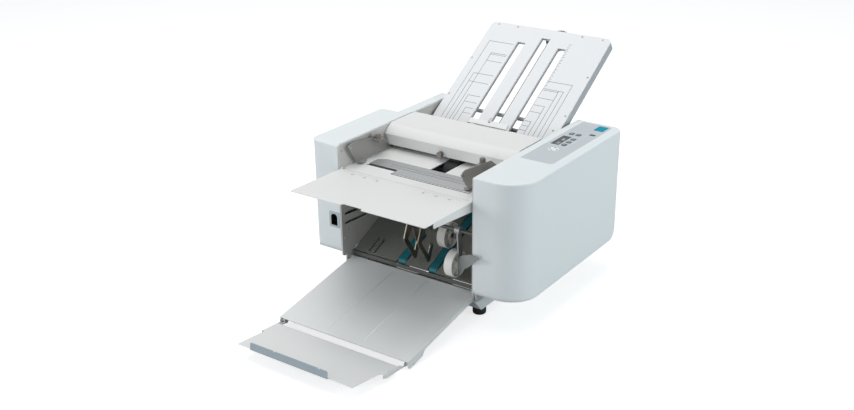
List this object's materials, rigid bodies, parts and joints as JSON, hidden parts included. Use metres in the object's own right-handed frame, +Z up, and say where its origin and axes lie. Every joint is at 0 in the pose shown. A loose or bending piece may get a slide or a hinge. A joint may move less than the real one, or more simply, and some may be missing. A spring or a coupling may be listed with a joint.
{
  "type": "paper folding machine",
  "caption": "Desk-top paper folding machine: hinged feed shelf and cover, sloping slotted fold plate, geared fold rollers, delivery ramp with belts and stacker wheels, tray with flap.",
  "frame": {"origin": "middle of the machine's footprint, on the table under the feet", "axes": "+X to the operator's right (control side), +Y to the rear (towards the upper folding plate), +Z up"},
  "size_m": [0.529, 0.9914, 0.4743],
  "materials": {
    "white_paint": "satin",
    "cover_paint": "satin",
    "tray_paint": "satin",
    "sheet_steel": "brushed",
    "plate_steel": "satin",
    "dark_steel": "satin",
    "zinc": "satin",
    "bright_steel": "polished",
    "rubber": "matte",
    "belt_rubber": "matte",
    "nylon": "satin",
    "grey_plastic": "satin",
    "panel_film": "satin",
    "display": "gloss",
    "start_blue": "satin",
    "circuit_board": "satin"
  },
  "bodies": {
    "frame": {"base_frame": "white_paint", "feet": "rubber", "left_frame_plate": "sheet_steel", "right_frame_plate": "sheet_steel", "left_housing": "white_paint", "right_housing": "white_paint", "cross_bars": "zinc", "shaft_bushes": "nylon", "feed_table": "white_paint", "feed_plate": "plate_steel", "ramp_floor": "dark_steel", "front_cross_strip": "zinc", "conveyor_belts": "belt_rubber", "rear_panel": "white_paint", "lower_fold_plate": "zinc", "drive_motor": "dark_steel", "drive_belts": "rubber", "power_supply": "circuit_board", "power_inlet": "grey_plastic", "control_panel": "panel_film", "display_window": "display", "separator_pad": "rubber"},
    "lower_fold_stop": {"lower_fold_stop": "nylon"},
    "top_cover": {"top_cover": "cover_paint"},
    "cover_knob": {"cover_knob": "bright_steel"},
    "feed_shelf": {"feed_shelf": "cover_paint"},
    "left_guide": {"left_side_guide": "sheet_steel"},
    "left_guide_knob": {"left_guide_knob": "bright_steel"},
    "right_guide": {"right_side_guide": "sheet_steel"},
    "right_guide_knob": {"right_guide_knob": "bright_steel"},
    "delivery_tray": {"delivery_tray": "tray_paint"},
    "tray_flap": {"tray_flap": "tray_paint"},
    "fold_plate": {"fold_plate_front": "cover_paint", "fold_plate_back": "zinc"},
    "fold_stop": {"fold_stop": "nylon"},
    "skew_knob": {"skew_knob": "grey_plastic"},
    "feed_roller": {"feed_roller": "rubber"},
    "upper_roller": {"upper_fold_roller": "rubber", "upper_gear": "nylon"},
    "main_roller": {"main_fold_roller": "rubber", "main_gear": "nylon"},
    "rear_roller": {"rear_fold_roller": "rubber", "rear_gear": "nylon"},
    "lower_roller": {"lower_fold_roller": "rubber", "lower_gear": "nylon"},
    "motor_pulley": {"motor_pulley": "zinc"},
    "front_belt_roller": {"front_belt_roller": "zinc"},
    "rear_belt_roller": {"rear_belt_roller": "zinc"},
    "stacker_bows": {"stacker_bows": "dark_steel"},
    "left_stacker_wheel": {"left_stacker_wheel": "nylon"},
    "stacker_lever": {"stacker_lever": "sheet_steel"},
    "right_stacker_wheel": {"right_stacker_wheel": "nylon"},
    "start_key": {"start_key": "start_blue"},
    "stop_key": {"stop_key": "grey_plastic"},
    "program_pad": {"program_pad": "white_paint"},
    "key_1": {"key_1": "grey_plastic"},
    "key_2": {"key_2": "grey_plastic"},
    "key_3": {"key_3": "grey_plastic"},
    "key_4": {"key_4": "grey_plastic"},
    "key_5": {"key_5": "grey_plastic"}
  },
  "joints": [
    {"name": "cover_hinge", "type": "hinge", "parent": "frame", "child": "top_cover", "pos_m": [-0.0165, 0.12899, 0.319], "axis": [1, 0, 0], "range_deg": [-75, 0]},
    {"name": "cover_knob_turn", "type": "hinge", "parent": "top_cover", "child": "cover_knob", "pos_m": [-0.0345, 0.02099, 0.291], "axis": [0, 1, 0], "range_deg": [-180, 180]},
    {"name": "shelf_hinge", "type": "hinge", "parent": "frame", "child": "feed_shelf", "pos_m": [-0.0165, -0.13101, 0.276], "axis": [1, 0, 0], "range_deg": [-90, 0]},
    {"name": "left_guide_slide", "type": "slide", "parent": "frame", "child": "left_guide", "axis": [1, 0, 0], "range_m": [0, 0.07]},
    {"name": "right_guide_slide", "type": "slide", "parent": "frame", "child": "right_guide", "axis": [1, 0, 0], "range_m": [-0.05, 0.03]},
    {"name": "left_guide_knob_turn", "type": "hinge", "parent": "left_guide", "child": "left_guide_knob", "pos_m": [-0.1655, -0.024, 0.315], "axis": [0, 0, 1], "range_deg": [-180, 180]},
    {"name": "right_guide_knob_turn", "type": "hinge", "parent": "right_guide", "child": "right_guide_knob", "pos_m": [0.1025, -0.024, 0.315], "axis": [0, 0, 1], "range_deg": [-180, 180]},
    {"name": "tray_hinge", "type": "hinge", "parent": "frame", "child": "delivery_tray", "pos_m": [-0.0165, -0.10901, 0.062], "axis": [1, 0, 0], "range_deg": [-40, 0]},
    {"name": "flap_hinge", "type": "hinge", "parent": "delivery_tray", "child": "tray_flap", "pos_m": [-0.0165, -0.34283, 0.01207], "axis": [1, 0, 0], "range_deg": [-45, 0]},
    {"name": "fold_plate_slide", "type": "slide", "parent": "frame", "child": "fold_plate", "axis": [0, 0.8396, 0.5432], "range_m": [0, 0.12]},
    {"name": "fold_stop_slide", "type": "slide", "parent": "fold_plate", "child": "fold_stop", "axis": [0, 0.8396, 0.5432], "range_m": [0, 0.245]},
    {"name": "skew_knob_turn", "type": "hinge", "parent": "fold_plate", "child": "skew_knob", "pos_m": [-0.0035, 0.47473, 0.44635], "axis": [0, -0.5432, 0.8396], "range_deg": [-180, 180]},
    {"name": "lower_stop_slide", "type": "slide", "parent": "frame", "child": "lower_fold_stop", "axis": [0, 0.7071, -0.7071], "range_m": [-0.1, 0.025]},
    {"name": "main_roller_spin", "type": "hinge", "parent": "frame", "child": "main_roller", "pos_m": [-0.0165, 0.12499, 0.25], "axis": [1, 0, 0], "continuous": true},
    {"name": "upper_roller_spin", "type": "hinge", "parent": "frame", "child": "upper_roller", "pos_m": [-0.0165, 0.12262, 0.28402], "axis": [1, 0, 0], "continuous": true},
    {"name": "rear_roller_spin", "type": "hinge", "parent": "frame", "child": "rear_roller", "pos_m": [-0.0165, 0.15884, 0.24584], "axis": [1, 0, 0], "continuous": true},
    {"name": "lower_roller_spin", "type": "hinge", "parent": "frame", "child": "lower_roller", "pos_m": [-0.0165, 0.12915, 0.21615], "axis": [1, 0, 0], "continuous": true},
    {"name": "feed_roller_spin", "type": "hinge", "parent": "frame", "child": "feed_roller", "pos_m": [-0.0165, 0.031, 0.2545], "axis": [1, 0, 0], "continuous": true},
    {"name": "motor_spin", "type": "hinge", "parent": "frame", "child": "motor_pulley", "pos_m": [-0.0165, -0.017, 0.15], "axis": [1, 0, 0], "continuous": true},
    {"name": "rear_belt_roller_spin", "type": "hinge", "parent": "frame", "child": "rear_belt_roller", "pos_m": [-0.0165, 0.06809, 0.14199], "axis": [1, 0, 0], "continuous": true},
    {"name": "front_belt_roller_spin", "type": "hinge", "parent": "frame", "child": "front_belt_roller", "pos_m": [-0.0165, -0.08538, 0.07366], "axis": [1, 0, 0], "continuous": true},
    {"name": "stacker_bows_swing", "type": "hinge", "parent": "frame", "child": "stacker_bows", "pos_m": [-0.0165, -0.099, 0.19], "axis": [1, 0, 0], "range_deg": [0, 15]},
    {"name": "left_stacker_wheel_spin", "type": "hinge", "parent": "stacker_bows", "child": "left_stacker_wheel", "pos_m": [-0.0165, -0.03601, 0.13976], "axis": [1, 0, 0], "continuous": true},
    {"name": "stacker_lever_swing", "type": "hinge", "parent": "frame", "child": "stacker_lever", "pos_m": [-0.0165, -0.099, 0.19], "axis": [1, 0, 0], "range_deg": [-20, 0]},
    {"name": "right_stacker_wheel_spin", "type": "hinge", "parent": "stacker_lever", "child": "right_stacker_wheel", "pos_m": [-0.0165, -0.09501, 0.1113], "axis": [1, 0, 0], "continuous": true},
    {"name": "start_key_press", "type": "slide", "parent": "frame", "child": "start_key", "axis": [0, 0, -1], "range_m": [0, 0.0006], "stiffness_N_per_m": 300},
    {"name": "stop_key_press", "type": "slide", "parent": "frame", "child": "stop_key", "axis": [0, 0, -1], "range_m": [0, 0.0006], "stiffness_N_per_m": 300},
    {"name": "program_pad_press", "type": "slide", "parent": "frame", "child": "program_pad", "axis": [0, 0, -1], "range_m": [0, 0.0006], "stiffness_N_per_m": 300},
    {"name": "key_1_press", "type": "slide", "parent": "frame", "child": "key_1", "axis": [0, 0, -1], "range_m": [0, 0.0006], "stiffness_N_per_m": 300},
    {"name": "key_2_press", "type": "slide", "parent": "frame", "child": "key_2", "axis": [0, 0, -1], "range_m": [0, 0.0006], "stiffness_N_per_m": 300},
    {"name": "key_3_press", "type": "slide", "parent": "frame", "child": "key_3", "axis": [0, 0, -1], "range_m": [0, 0.0006], "stiffness_N_per_m": 300},
    {"name": "key_4_press", "type": "slide", "parent": "frame", "child": "key_4", "axis": [0, 0, -1], "range_m": [0, 0.0006], "stiffness_N_per_m": 300},
    {"name": "key_5_press", "type": "slide", "parent": "frame", "child": "key_5", "axis": [0, 0, -1], "range_m": [0, 0.0006], "stiffness_N_per_m": 300}
  ],
  "couplings": [
    {"joint": "upper_roller_spin", "follows": "main_roller_spin", "ratio": -1},
    {"joint": "rear_roller_spin", "follows": "main_roller_spin", "ratio": -1},
    {"joint": "lower_roller_spin", "follows": "main_roller_spin", "ratio": -1},
    {"joint": "feed_roller_spin", "follows": "main_roller_spin", "ratio": 0.92308},
    {"joint": "motor_spin", "follows": "main_roller_spin", "ratio": 2.8889},
    {"joint": "rear_belt_roller_spin", "follows": "main_roller_spin", "ratio": -1},
    {"joint": "front_belt_roller_spin", "follows": "main_roller_spin", "ratio": -1}
  ]
}
